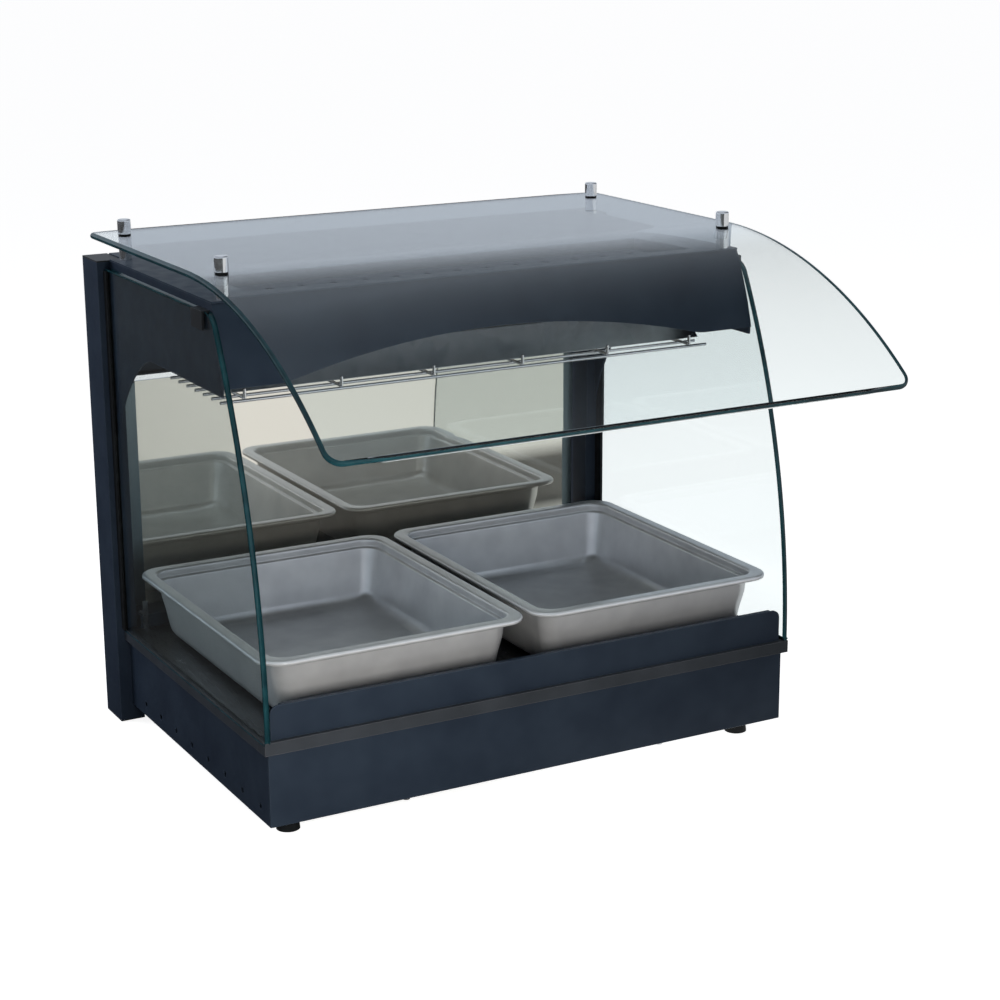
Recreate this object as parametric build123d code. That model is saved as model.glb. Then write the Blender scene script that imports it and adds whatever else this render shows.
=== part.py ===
from build123d import *
import math
import os

# Heated display case: a dark sheet-metal base with a warm deck, two steel food pans, a hood on two
# rear columns with overhead heaters, curved side glass, a fixed curved canopy glass and a mirrored
# rear door. Lengths are millimetres. X is to the right, Y goes back from the base front face and Z
# goes up from the base underside, until every piece is moved to the origin at the end.

# Food pans
pan_width = 265.0
pan_length = 325.0
pan_depth = 65.0
pan_sheet = 1.0
pan_rim = 12.0
pan_lip = 4.0
pan_corner = 22.0
pan_taper = 9.0
pan_gap = 9.0
pan_side_gap = 5.5
pan_front_gap = 8.7
pan_back_gap = 11.3

# Base box, trim strip and deck
base_height = 70.2
sheet = 1.5
fold = 12.0
trim_height = 12.0
trim_proud = 4.9
deck_rise = 1.8
deck_sheet = 2.0
heater_mat_sheet = 2.0
heater_mat_inset = 30.0
insulation_height = 18.0
upper_panel_height = 31.9
upper_panel_fold = 5.0
vent_count = 8
vent_diameter = 6.0
vent_pitch = 42.0
vent_first = 23.0
vent_height = 13.0
cover_inset = 3.0
cover_slot_count = 6
cover_slot_width = 8.0
cover_slot_length = 80.0
cover_slot_pitch = 28.0
cover_slot_first = 60.0
cover_slot_setback = 120.0
screw_diameter = 3.5
screw_head = 7.0
screw_head_height = 1.8
screw_length = 8.0
foot_height = 18.0
foot_diameter = 22.0
foot_inset_side = 30.0
foot_inset_front = 20.0
foot_inset_back = 30.0

# Columns and rear door
column_width = 25.0
column_depth = 43.0
column_proud = 13.0
column_wall = 2.0
column_drop = 16.0
column_step = 2.5
sill_depth = 33.0
sill_height = 14.8
door_height = 244.0
door_glass = 4.0
door_edge_width = 12.0
door_edge_depth = 8.0
door_pin_diameter = 6.0
door_pin_drop = 6.0
door_side_gap = 6.0
door_bottom_gap = 3.8
handle_width = 140.0
handle_height = 16.0
handle_bar = 3.5
handle_post = 6.0
handle_stand = 12.0
handle_rise = 8.0
rail_height = 30.0
clip_width = 5.0
clip_rise = 15.0
sheath_diameter = 7.0
sheath_bend = 12.0
sheath_reach = 30.0
sheath_setback = 10.0
sheath_low = 50.0
sheath_above_floor = 20.0
sheath_grommet_wall = 2.0

# Hood
serving_height = 301.0
hood_height = 73.0
hood_slant = 27.0
hood_setback = 66.0
fascia_bulge = 2.5
fascia_arch_width = 430.0
fascia_arch_rise = 27.0
arch_bend_radius = 60.0
hood_side_lip = 7.0
hood_arch_length = 108.0
hood_arch_drop = 123.0
well_width = 466.0
well_length = 104.0
well_depth = 12.0
well_setback = 19.0
well_slots = 14
well_slot_width = 6.0
well_slot_margin = 20.0
rear_panel_recess = 6.0

# Overhead heater
reflector_length = 494.0
reflector_mouth = 120.0
reflector_roof = 66.0
reflector_height = 26.0
reflector_sheet = 1.0
reflector_setback = 120.0
guard_drop = 8.0
guard_rods = 7
guard_crossbars = 6
guard_wire = 3.0
tube_diameter = 10.0
tube_pitch = 30.0
tube_rise = 9.0
tube_end_gap = 8.0
socket_diameter = 18.0
socket_length = 14.0
socket_neck = 8.0
socket_neck_length = 12.0
hanger_place = 180.0
hanger_width = 24.0
hanger_fold = 14.0

# Glass
side_glass = 5.0
side_glass_gap = 0.3
side_glass_lean = 90.0
side_glass_below_top = 11.0
canopy_glass = 6.0
canopy_rise = 24.0
canopy_side_overhang = 12.0
canopy_back = 383.0
canopy_flat_end = 125.0
canopy_front = -173.0
canopy_radius = 460.0
canopy_corner = 15.0
post_diameter = 12.0
post_inset = 13.0
post_front = 99.0
post_back = 348.0
cap_height = 14.0
stud_diameter = 6.0
grommet_flange = 1.2
side_clip_length = 26.0
side_clip_sheet = 2.5
side_clip_drop = 14.0

# Controls on the rear of the base
knob_diameter = 34.0
knob_height = 16.0
shaft_diameter = 6.0
thermostat_x = -150.0
overhead_control_x = -60.0
switch_x = 40.0
inlet_x = 170.0
control_height = 38.0
thermostat_width = 34.0
thermostat_depth = 30.0
overhead_control_width = 30.0
overhead_control_depth = 24.0
bush_diameter = 12.0
bush_stand = 3.0
shaft_stand = 14.0
shaft_depth = 9.0
knob_flutes = 16
flute_diameter = 4.0
rocker_width = 14.0
rocker_height = 24.0
rocker_pin = 2.0
switch_wall = 2.0
switch_depth = 20.0
inlet_width = 27.0
inlet_height = 20.0
inlet_flange_width = 50.0
lamp_diameter = 12.0
lamp_spacing = 50.0
terminal_count = 6
terminal_pitch = 13.0
terminal_width = 22.0
terminal_height = 16.0
terminal_setback = 230.0

# Clearances
fit = 0.3
running = 0.05

# Places worked out from the sizes above
half_width = pan_width + pan_gap / 2 + pan_side_gap
trim_top = base_height + trim_height
deck_top = trim_top + deck_rise
sill_front = pan_front_gap + pan_length + pan_back_gap
column_front = sill_front + 13.0
column_back = column_front + column_depth
column_outer = half_width + column_proud
column_inner = column_outer - column_width
rear_panel_front = sill_front + sill_depth
fascia_bottom = deck_top + serving_height
hood_top = fascia_bottom + hood_height
hood_front = hood_setback + hood_slant
hood_side_bottom = fascia_bottom - hood_side_lip
hood_floor = fascia_bottom + fascia_arch_rise + 4.0
column_top = hood_top - column_step
sill_top = trim_top + sill_height
door_bottom = trim_top + door_bottom_gap
door_top = door_bottom + door_height
door_front = rear_panel_front + 1.0
door_half = column_inner - door_side_gap
door_axis_y = door_front + door_edge_depth / 2
door_axis_z = door_top - door_pin_drop
canopy_top = hood_top + canopy_rise
canopy_centre_z = canopy_top - canopy_radius
reflector_mid = reflector_setback + reflector_mouth / 2
reflector_bottom = fascia_bottom - 16.0
reflector_top = reflector_bottom + reflector_height
side_glass_inner = half_width + side_glass_gap
side_glass_outer = side_glass_inner + side_glass
side_glass_top = hood_top - side_glass_below_top
post_x = half_width - post_inset
panel_back = rear_panel_front + sheet
tube_height = reflector_bottom + tube_rise
sheath_y = column_front + sheath_setback
sheath_high = hood_floor + sheath_above_floor
rocker_axis_y = panel_back - 3.5
origin_shift = Pos(0, -(canopy_front + column_back) / 2, foot_height)


def block(x0, x1, y0, y1, z0, z1):
    """A box between two corners."""
    return Pos((x0 + x1) / 2, (y0 + y1) / 2, (z0 + z1) / 2) * Box(x1 - x0, y1 - y0, z1 - z0)


def rod_x(x0, x1, y, z, diameter):
    """A round bar along X."""
    return Pos((x0 + x1) / 2, y, z) * Rot(0, 90, 0) * Cylinder(diameter / 2, x1 - x0)


def rod_y(x, y0, y1, z, diameter):
    """A round bar along Y."""
    return Pos(x, (y0 + y1) / 2, z) * Rot(90, 0, 0) * Cylinder(diameter / 2, y1 - y0)


def rod_z(x, y, z0, z1, diameter):
    """A round bar along Z."""
    return Pos(x, y, (z0 + z1) / 2) * Cylinder(diameter / 2, z1 - z0)


def other_side(shape):
    """The same piece on the other side of the case."""
    return mirror(shape, about=Plane.YZ)


def side_profile(edges, x0, x1):
    """A closed outline drawn in Y and Z, made solid from x0 to x1."""
    return Pos(x0, 0, 0) * extrude(Plane.YZ * make_face(edges), x1 - x0)


def save(name, *pieces):
    """Write one node, moved to the origin under the middle of the case."""
    solids = [solid for piece in pieces for solid in piece.solids()]
    shape = solids[0] if len(solids) == 1 else Compound(children=solids)
    export_step(origin_shift * shape, f"parts/{name}.step")


def cover_screw_places():
    """Centres of the screws that hold the bottom cover to the folds of the base sheets."""
    side_x = half_width - fold / 2
    sides = [(side * side_x, y) for side in (-1, 1)
             for y in (fold + 45, column_front / 2, column_front - 55)]
    ends = [(side * half_width / 2, y) for side in (-1, 1)
            for y in (sheet + fold / 2, rear_panel_front - fold / 2)]
    return sides + ends


def drilled(shape):
    """The sheet with its clearance holes for the cover screws."""
    for x, y in cover_screw_places():
        shape -= rod_z(x, y, -2 * sheet, 2 * sheet, screw_diameter + 2 * running)
    return shape


def cover_screws():
    """Pan-head screws, heads below the bottom cover."""
    pieces = []
    for x, y in cover_screw_places():
        head = rod_z(x, y, -sheet - screw_head_height, -sheet, screw_head)
        pieces.append(head + rod_z(x, y, -sheet, screw_length, screw_diameter))
    return pieces


def base_front_panel():
    """Front sheet of the base, folded back along its top and bottom edges."""
    edge = half_width - sheet - fit
    plate = block(-half_width, half_width, 0, sheet, 0, base_height)
    foot_fold = block(-edge, edge, sheet, fold, 0, sheet)
    top_fold = block(-edge, edge, sheet, fold, base_height - sheet, base_height)
    return drilled(plate + foot_fold + top_fold)


def base_side():
    """Left side sheet with a row of round vents along its lower edge."""
    plate = block(-half_width, -half_width + sheet, sheet, column_front, 0, base_height)
    foot_fold = block(-half_width, -half_width + fold, fold + fit, column_front, 0, sheet)
    side = drilled(plate + foot_fold)
    for index in range(vent_count):
        y = vent_first + index * vent_pitch
        side -= rod_x(-half_width - sheet, -half_width + 2 * sheet, y, vent_height, vent_diameter)
    return side


def base_rear_panel():
    """Rear sheet of the base with a top ledge, pierced for the controls."""
    inner = column_inner - fit
    plate = block(-inner, inner, rear_panel_front, panel_back, 0, trim_top)
    ledge = block(-inner, inner, sill_front, rear_panel_front, trim_top - sheet, trim_top)
    foot_fold = block(-inner, inner, rear_panel_front - fold, rear_panel_front, 0, sheet)
    panel = drilled(plate + ledge + foot_fold)
    through = (rear_panel_front - sheet, panel_back + sheet)
    wide = rocker_width / 2 + switch_wall
    high = rocker_height / 2 + switch_wall
    for x in (thermostat_x, overhead_control_x):
        panel -= rod_y(x, *through, control_height, bush_diameter)
    panel -= block(switch_x - wide, switch_x + wide, *through,
                   control_height - high, control_height + high)
    panel -= block(inlet_x - inlet_width / 2, inlet_x + inlet_width / 2, *through,
                   control_height - inlet_height / 2, control_height + inlet_height / 2)
    return panel


def base_bottom_cover():
    """Bottom cover with air slots, screwed up into the folds of the base sheets."""
    edge = half_width - cover_inset
    inner = column_inner - fit
    cover = block(-edge, edge, cover_inset, column_front, -sheet, 0)
    cover = drilled(cover + block(-inner, inner, column_front, panel_back, -sheet, 0))
    slot_back = cover_slot_setback + cover_slot_length
    for row in (-1, 1):
        for index in range(cover_slot_count):
            x = row * (cover_slot_first + cover_slot_pitch * index)
            cover -= block(x - cover_slot_width / 2, x + cover_slot_width / 2,
                           cover_slot_setback, slot_back, -2 * sheet, sheet)
    return cover


def trim_front():
    """Front length of the trim strip between base and glass."""
    return block(-half_width - trim_proud, half_width + trim_proud, -trim_proud, fold,
                 base_height, trim_top)


def trim_side():
    """Left length of the trim strip, which the side glass stands on."""
    return block(-half_width - trim_proud, -half_width + fold, fold, column_front - fit,
                 base_height, trim_top)


def deck_plate():
    """Warm deck that the pans stand on."""
    edge = half_width - 2.0
    plate = block(-edge, edge, fold, sill_front - fit, trim_top, deck_top)
    skirt = block(-half_width + fold + fit, half_width - fold - fit, fold + fit, sill_front - fit,
                  trim_top - fold + 2, trim_top)
    hollow = block(-half_width + fold + fit + deck_sheet, half_width - fold - fit - deck_sheet,
                   fold + fit + deck_sheet, sill_front - fit - deck_sheet,
                   trim_top - fold, trim_top)
    return plate + (skirt - hollow)


def deck_heater():
    """Heating mat pressed against the underside of the deck."""
    inset = heater_mat_inset
    return block(-half_width + inset, half_width - inset, fold + inset, sill_front - inset,
                 trim_top - heater_mat_sheet, trim_top)


def insulation():
    """Insulating board below the heating mat."""
    inset = heater_mat_inset - 10
    top = trim_top - heater_mat_sheet
    return block(-half_width + inset, half_width - inset, fold + inset, sill_front - inset,
                 top - insulation_height, top)


def insulation_tray():
    """Sheet tray that holds the insulation up, fixed to both side sheets."""
    top = trim_top - heater_mat_sheet - insulation_height
    edge = half_width - sheet
    floor = block(-edge, edge, fold + 2, sill_front - 2, top - sheet, top)
    flange = block(-edge, -edge + sheet, fold + 2, sill_front - 2, top - fold, top - sheet)
    return floor + flange + other_side(flange)


def upper_front_panel():
    """Low front guard in front of the pans, with rounded top corners and folded edges."""
    edge = half_width - 3.0
    top = trim_top + upper_panel_height
    plate = block(-edge, edge, 0, sheet, trim_top, top)
    corners = plate.edges().filter_by(Axis.Y).group_by(Axis.Z)[-1]
    plate = fillet(corners, 8.0)
    foot_fold = block(-edge, edge, sheet, fold - fit, trim_top, trim_top + sheet)
    top_fold = block(-edge + 10, edge - 10, sheet, upper_panel_fold, top - sheet, top)
    return plate + foot_fold + top_fold


def feet_places():
    """Centres of the four feet."""
    x = half_width - foot_inset_side
    return [(side * x, y) for side in (-1, 1)
            for y in (foot_inset_front + fold, rear_panel_front - foot_inset_back)]


def feet():
    """Four rubber feet, slightly wider at the floor."""
    pieces = []
    for x, y in feet_places():
        height = foot_height - sheet
        foot = Cone(foot_diameter / 2, foot_diameter / 2 - 2, height)
        pieces.append(Pos(x, y, -sheet - height / 2) * foot)
    return pieces


def column():
    """Left rear column, a rectangular tube open at both ends."""
    x0, x1 = -column_outer, -column_inner
    wall = column_wall
    tube = block(x0, x1, column_front, column_back, -column_drop, column_top)
    bore = block(x0 + wall, x1 - wall, column_front + wall, column_back - wall,
                 -column_drop - 1, column_top + 1)
    return tube - bore


def column_plug(z0, z1, inward):
    """Plastic plug for one end of the left column; inward is the side its tongue is on."""
    x0, x1 = -column_outer, -column_inner
    wall = column_wall
    cap = block(x0, x1, column_front, column_back, z0, z1)
    tongue_z = (z0 - 10, z0) if inward < 0 else (z1, z1 + 10)
    tongue = block(x0 + wall, x1 - wall, column_front + wall, column_back - wall, *tongue_z)
    return cap + tongue


def sill():
    """Rear sill that the mirrored door closes against."""
    inner = column_inner - fit
    shell = block(-inner, inner, sill_front, rear_panel_front, trim_top, sill_top)
    hollow = block(-inner, inner, sill_front + sheet, rear_panel_front - sheet,
                   trim_top, sill_top - sheet)
    return shell - hollow


def sill_clip():
    """Bright upright tab at the left end of the sill that keeps the door from rattling."""
    x0 = -column_inner + clip_width / 2
    x1 = x0 + clip_width
    tab = block(x0, x1, sill_front - sheet, sill_front, deck_top, sill_top + clip_rise)
    foot_fold = block(x0, x1, sill_front, sill_front + fold, sill_top, sill_top + sheet)
    return tab + foot_fold


def door_mirror():
    """Mirrored glass of the rear door."""
    half = door_half - door_edge_width
    return block(-half, half, door_front, door_front + door_glass, door_bottom, door_top)


def door_edge():
    """Left edge profile of the rear door, with its hinge pin hole."""
    x0, x1 = -door_half, -door_half + door_edge_width
    profile = block(x0, x1, door_front, door_front + door_edge_depth, door_bottom, door_top)
    corners = profile.edges().filter_by(Axis.X)
    profile = fillet(corners, 2.0)
    return profile - rod_x(x0, x1, door_axis_y, door_axis_z, door_pin_diameter)


def door_rail():
    """Thin rail behind the lower edge of the mirror, which carries the handle."""
    half = door_half - door_edge_width
    y0 = door_front + door_glass
    return block(-half, half, y0, y0 + sheet, door_bottom, door_bottom + rail_height)


def door_handle():
    """Pull handle on the back of the door rail."""
    y0 = door_front + door_glass + sheet
    y1 = y0 + handle_stand
    z0 = door_bottom + handle_rise
    z1 = z0 + handle_height
    half = handle_width / 2
    grip = block(-half, half, y1, y1 + handle_bar, z0, z1)
    for x in (-half, half - handle_post):
        grip += block(x, x + handle_post, y0, y1, z0, z1)
    return fillet(grip.edges().filter_by(Axis.X).group_by(Axis.Y)[-1], handle_bar * 0.4)


def door_pin():
    """Left hinge pin of the rear door."""
    return rod_x(-column_inner + fit, -door_half + door_edge_width, door_axis_y, door_axis_z,
                 door_pin_diameter)


def door_pivot():
    """Left pivot plate that the hinge pin turns in, screwed to the column."""
    x0 = -column_inner
    x1 = x0 + door_side_gap - 2.0
    plate = block(x0, x1, door_axis_y - 9, door_axis_y + 9, door_axis_z - 9, door_axis_z + 9)
    return plate - rod_x(x0 - 1, x1 + 1, door_axis_y, door_axis_z, door_pin_diameter + 2 * running)


def fascia_edges(offset):
    """Slanted front curve of the hood in Y and Z, from bottom to top, moved back by offset."""
    low = (hood_setback + offset, fascia_bottom)
    high = (hood_front + offset, hood_top - sheet)
    middle = ((low[0] + high[0]) / 2 - fascia_bulge, (low[1] + high[1]) / 2)
    return ThreePointArc(low, middle, high)


def hood_fascia():
    """Curved front sheet of the hood with a shallow arch cut in its lower edge."""
    front = fascia_edges(0)
    back = fascia_edges(sheet)
    ends = [Line(front @ 0, back @ 0), Line(front @ 1, back @ 1)]
    curved = side_profile([front, back] + ends, -half_width, half_width)
    arch = fascia_arch_width / 2
    outline = [
        Line((-half_width, fascia_bottom), (-arch, fascia_bottom)),
        ThreePointArc((-arch, fascia_bottom), (0, fascia_bottom + fascia_arch_rise),
                      (arch, fascia_bottom)),
        Polyline((arch, fascia_bottom), (half_width, fascia_bottom), (half_width, hood_top),
                 (-half_width, hood_top), (-half_width, fascia_bottom)),
    ]
    fascia = curved & extrude(Plane.XZ * make_face(outline), -hood_front - 40)
    bends = [edge for edge in fascia.edges() if edge.length < 2 * sheet
             and abs(edge.center().Z - fascia_bottom) < 1 and abs(edge.center().X) < arch + 1]
    return fillet(bends, arch_bend_radius)


def hood_side():
    """Left side sheet of the hood, sweeping down in a curve to meet the column."""
    front = fascia_edges(sheet)
    start = (column_front - hood_arch_length, hood_side_bottom)
    end = (column_front, hood_side_bottom - hood_arch_drop)
    middle = (column_front - 0.444 * hood_arch_length, hood_side_bottom - 0.309 * hood_arch_drop)
    low = (hood_setback + sheet, hood_side_bottom)
    outline = [
        front,
        Line(low, front @ 0),
        Line(low, start),
        ThreePointArc(start, middle, end),
        Line(end, (column_front, hood_top - sheet)),
        Line((column_front, hood_top - sheet), front @ 1),
    ]
    plate = side_profile(outline, -half_width, -half_width + column_wall)
    bend = plate.edges().filter_by(Axis.X).sort_by_distance((-half_width, *start))[0]
    return fillet(bend, 60)


def hood_top_panel():
    """Top sheet of the hood with a sunken, slotted vent well."""
    z0, z1 = hood_top - sheet, hood_top
    top = block(-half_width, half_width, hood_front - 1, column_front, z0, z1)
    back = column_back - rear_panel_recess
    top += block(-column_inner + fit, column_inner - fit, column_front, back, z0, z1)
    x, y0 = well_width / 2, hood_front + well_setback
    y1 = y0 + well_length
    outer = block(-x - sheet, x + sheet, y0 - sheet, y1 + sheet, z1 - well_depth - sheet, z0)
    top = top + outer - block(-x, x, y0, y1, z1 - well_depth, z1 + 1)
    margin = well_slot_margin
    pitch = (well_width - 2 * margin) / (well_slots - 1)
    for index in range(well_slots):
        left = -x + margin + index * pitch - well_slot_width / 2
        top -= block(left, left + well_slot_width, y0 + margin, y1 - margin,
                     z1 - well_depth - 2 * sheet, z1)
    return top


def hood_floor_panel():
    """Underside sheet of the hood, which the heater hangs from."""
    edge = half_width - column_wall
    inner = column_inner - fit
    front = hood_setback + hood_slant / 2 + fit
    wide = block(-edge, edge, front, column_front, hood_floor, hood_floor + sheet)
    return wide + block(-inner, inner, column_front, rear_panel_front, hood_floor, hood_floor + sheet)


def hood_rear_panel():
    """Rear sheet of the hood between the columns, above the door."""
    inner = column_inner - fit
    y0 = column_back - rear_panel_recess - sheet
    z0 = door_top + 4.0
    plate = block(-inner, inner, y0, y0 + sheet, z0, hood_top - sheet)
    shelf = block(-inner, inner, rear_panel_front + 8, y0, z0, z0 + sheet)
    return plate + shelf


def heater_reflector():
    """Bright folded reflector trough, open at the bottom."""
    mouth, roof = reflector_mouth / 2, reflector_roof / 2
    outline = Polyline((reflector_mid - mouth, reflector_bottom), (reflector_mid - roof, reflector_top),
                       (reflector_mid + roof, reflector_top), (reflector_mid + mouth, reflector_bottom))
    wall = reflector_sheet
    inner = Polyline((reflector_mid - mouth + wall, reflector_bottom),
                     (reflector_mid - roof + wall, reflector_top - wall),
                     (reflector_mid + roof - wall, reflector_top - wall),
                     (reflector_mid + mouth - wall, reflector_bottom))
    ends = [Line(outline @ 0, inner @ 0), Line(outline @ 1, inner @ 1)]
    half = reflector_length / 2
    return side_profile([outline, inner] + ends, -half, half)


def reflector_end():
    """Left end plate of the reflector with the two tube sockets' holes."""
    x0 = -reflector_length / 2 - sheet
    mouth, roof = reflector_mouth / 2, reflector_roof / 2
    outline = Polyline((reflector_mid - mouth, reflector_bottom), (reflector_mid - roof, reflector_top),
                       (reflector_mid + roof, reflector_top), (reflector_mid + mouth, reflector_bottom),
                       (reflector_mid - mouth, reflector_bottom))
    plate = side_profile([outline], x0, x0 + sheet)
    for y in tube_places():
        plate -= rod_x(x0 - 1, x0 + sheet + 1, y, tube_height, socket_neck)
    return plate


def tube_places():
    """Y places of the heating tubes."""
    return [reflector_mid - tube_pitch / 2, reflector_mid + tube_pitch / 2]


def heating_tubes():
    """Two quartz heating tubes under the reflector."""
    half = reflector_length / 2 - tube_end_gap
    return [rod_x(-half, half, y, tube_height, tube_diameter) for y in tube_places()]


def tube_sockets():
    """Ceramic sockets that hold the tube ends and pass through the end plates."""
    half = reflector_length / 2
    pieces = []
    for y in tube_places():
        body = rod_x(-half, -half + socket_length, y, tube_height, socket_diameter)
        neck = rod_x(-half - socket_neck_length, -half, y, tube_height, socket_neck)
        bore = rod_x(-half + tube_end_gap, -half + 2 * socket_length, y, tube_height, tube_diameter)
        socket = body + neck - bore
        pieces += [socket, other_side(socket)]
    return pieces


def reflector_hanger():
    """Left strap that hangs the reflector from the hood floor."""
    x = -hanger_place
    y0, y1 = reflector_mid - hanger_width / 2, reflector_mid + hanger_width / 2
    strap = block(x, x + sheet, y0, y1, reflector_top, hood_floor)
    foot_fold = block(x, x + hanger_fold, y0, y1, reflector_top, reflector_top + sheet)
    top_fold = block(x, x + hanger_fold, y0, y1, hood_floor - sheet, hood_floor)
    return strap + foot_fold + top_fold


def guard():
    """Wire guard below the tubes: long rods notched on to cross bars that hook over the reflector."""
    half = reflector_length / 2 + 10
    spread = reflector_mouth / 2 + guard_wire / 2 + 0.1
    z = reflector_bottom - guard_drop
    bars = []
    for index in range(guard_crossbars):
        x = -half + 20 + (2 * half - 40) * index / (guard_crossbars - 1)
        bar = rod_y(x, reflector_mid - spread, reflector_mid + spread, z + guard_wire * 0.7,
                    guard_wire)
        for side in (-1, 1):
            y = reflector_mid + side * spread
            bar += rod_z(x, y, z + guard_wire * 0.7, reflector_bottom + guard_wire, guard_wire)
        bars.append(bar)
    rods = []
    for index in range(guard_rods):
        y = reflector_mid - spread + 2 * spread * index / (guard_rods - 1)
        rod = rod_x(-half, half, y, z, guard_wire)
        for bar in bars:
            rod -= bar
        rods.append(rod)
    return rods + bars


def side_glass_pane():
    """Left side glass: its front edge leans back in one arc that starts upright."""
    rear = column_front - fit - 1.0
    low = (-trim_proud + 0.9, trim_top)
    high = (low[0] + side_glass_lean, side_glass_top)
    rise = high[1] - low[1]
    radius = (side_glass_lean ** 2 + rise ** 2) / (2 * side_glass_lean)
    angle = math.asin(rise / radius) / 2
    middle = (low[0] + radius * (1 - math.cos(angle)), low[1] + radius * math.sin(angle))
    outline = [
        ThreePointArc(low, middle, high),
        Polyline(high, (rear, side_glass_top), (rear, trim_top), low),
    ]
    pane = side_profile(outline, -side_glass_outer, -side_glass_inner)
    top_corner = pane.edges().filter_by(Axis.X).sort_by_distance((-side_glass_inner, *high))[0]
    return fillet(top_corner, 10)


def side_glass_seal():
    """Left glass channel, fixed to the column front, that holds the rear edge of the side glass."""
    x0, x1 = -side_glass_outer - 2.0, -half_width
    y0 = column_front - 8
    channel = block(x0, x1, y0, column_front, trim_top, side_glass_top)
    slot = block(-side_glass_outer, -side_glass_inner, y0 - 1, column_front - fit - 1.0,
                 trim_top - 1, side_glass_top + 1)
    return channel - slot


def side_glass_clip():
    """Left clip that holds the top front corner of the side glass to the hood side."""
    y0 = hood_front + 4
    y1 = y0 + side_clip_length
    x0 = -side_glass_outer - side_clip_sheet - fit
    z1 = side_glass_top + fit + side_clip_sheet
    jaw = block(x0, -side_glass_outer - fit, y0, y1, side_glass_top - side_clip_drop, z1)
    bridge = block(x0, -half_width, y0, y1, side_glass_top + fit, z1)
    return jaw + bridge


def canopy_drop(y, radius):
    """How far the canopy has curved down at a place along Y, on a surface of that radius."""
    run = max(0.0, canopy_flat_end - y)
    return radius - math.sqrt(radius ** 2 - run ** 2)


def canopy():
    """Canopy glass: flat over the hood, then one arc down to the front edge, with four holes."""
    inner_radius = canopy_radius - canopy_glass
    sweep = math.asin((canopy_flat_end - canopy_front) / canopy_radius)

    def on_arc(radius, angle):
        return (canopy_flat_end - radius * math.sin(angle), canopy_centre_z + radius * math.cos(angle))

    top, under = canopy_top, canopy_top - canopy_glass
    outline = [
        Line((canopy_back, top), (canopy_flat_end, top)),
        ThreePointArc((canopy_flat_end, top), on_arc(canopy_radius, sweep / 2),
                      on_arc(canopy_radius, sweep)),
        Line(on_arc(canopy_radius, sweep), on_arc(inner_radius, sweep)),
        ThreePointArc(on_arc(inner_radius, sweep), on_arc(inner_radius, sweep / 2),
                      (canopy_flat_end, under)),
        Line((canopy_flat_end, under), (canopy_back, under)),
        Line((canopy_back, under), (canopy_back, top)),
    ]
    half = half_width + canopy_side_overhang
    glass = side_profile(outline, -half, half)
    tip = on_arc((canopy_radius + inner_radius) / 2, sweep)
    corners = [((canopy_back, top - canopy_glass / 2), canopy_corner / 2), (tip, canopy_corner)]
    for (y, z), radius in corners:
        through = [edge for edge in glass.edges() if edge.length < canopy_glass * 1.5
                   and math.hypot(edge.center().Y - y, edge.center().Z - z) < canopy_glass / 4]
        glass = fillet(through, radius)
    for x, y in post_places():
        glass -= rod_z(x, y, hood_top, canopy_top + 1, stud_diameter + 4)
    return glass


def post_places():
    """Centres of the four canopy posts."""
    return [(side * post_x, y) for side in (-1, 1) for y in (post_front, post_back)]


def post_levels(y):
    """Top of the post and underside of the cap at a place along Y."""
    under = canopy_top - canopy_glass - canopy_drop(y, canopy_radius - canopy_glass)
    over = canopy_top - canopy_drop(y, canopy_radius)
    return under - grommet_flange, over + grommet_flange


def canopy_posts():
    """Four posts with a threaded stud through the glass."""
    pieces = []
    for x, y in post_places():
        seat, cap_foot = post_levels(y)
        pieces.append(rod_z(x, y, hood_top, seat, post_diameter)
                      + rod_z(x, y, seat, cap_foot + cap_height - 4, stud_diameter))
    return pieces


def canopy_grommets(glass):
    """Four rubber grommets that seat the glass between post and cap."""
    pieces = []
    for x, y in post_places():
        seat, cap_foot = post_levels(y)
        spool = rod_z(x, y, seat, cap_foot, post_diameter)
        spool -= rod_z(x, y, seat - 1, cap_foot + 1, stud_diameter)
        pieces.append(spool - glass)
    return pieces


def canopy_caps():
    """Four chrome cap nuts on top of the glass."""
    pieces = []
    for x, y in post_places():
        cap_foot = post_levels(y)[1]
        cap = rod_z(x, y, cap_foot, cap_foot + cap_height, post_diameter + 1)
        cap = fillet(cap.edges().sort_by(Axis.Z)[-1], 1.5)
        pieces.append(cap - rod_z(x, y, cap_foot - 1, cap_foot + cap_height - 4, stud_diameter))
    return pieces


def rounded_plate(width, length, corner, z):
    """A flat rounded rectangle at a height."""
    return Pos(0, 0, z) * RectangleRounded(width, length, corner)


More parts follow.
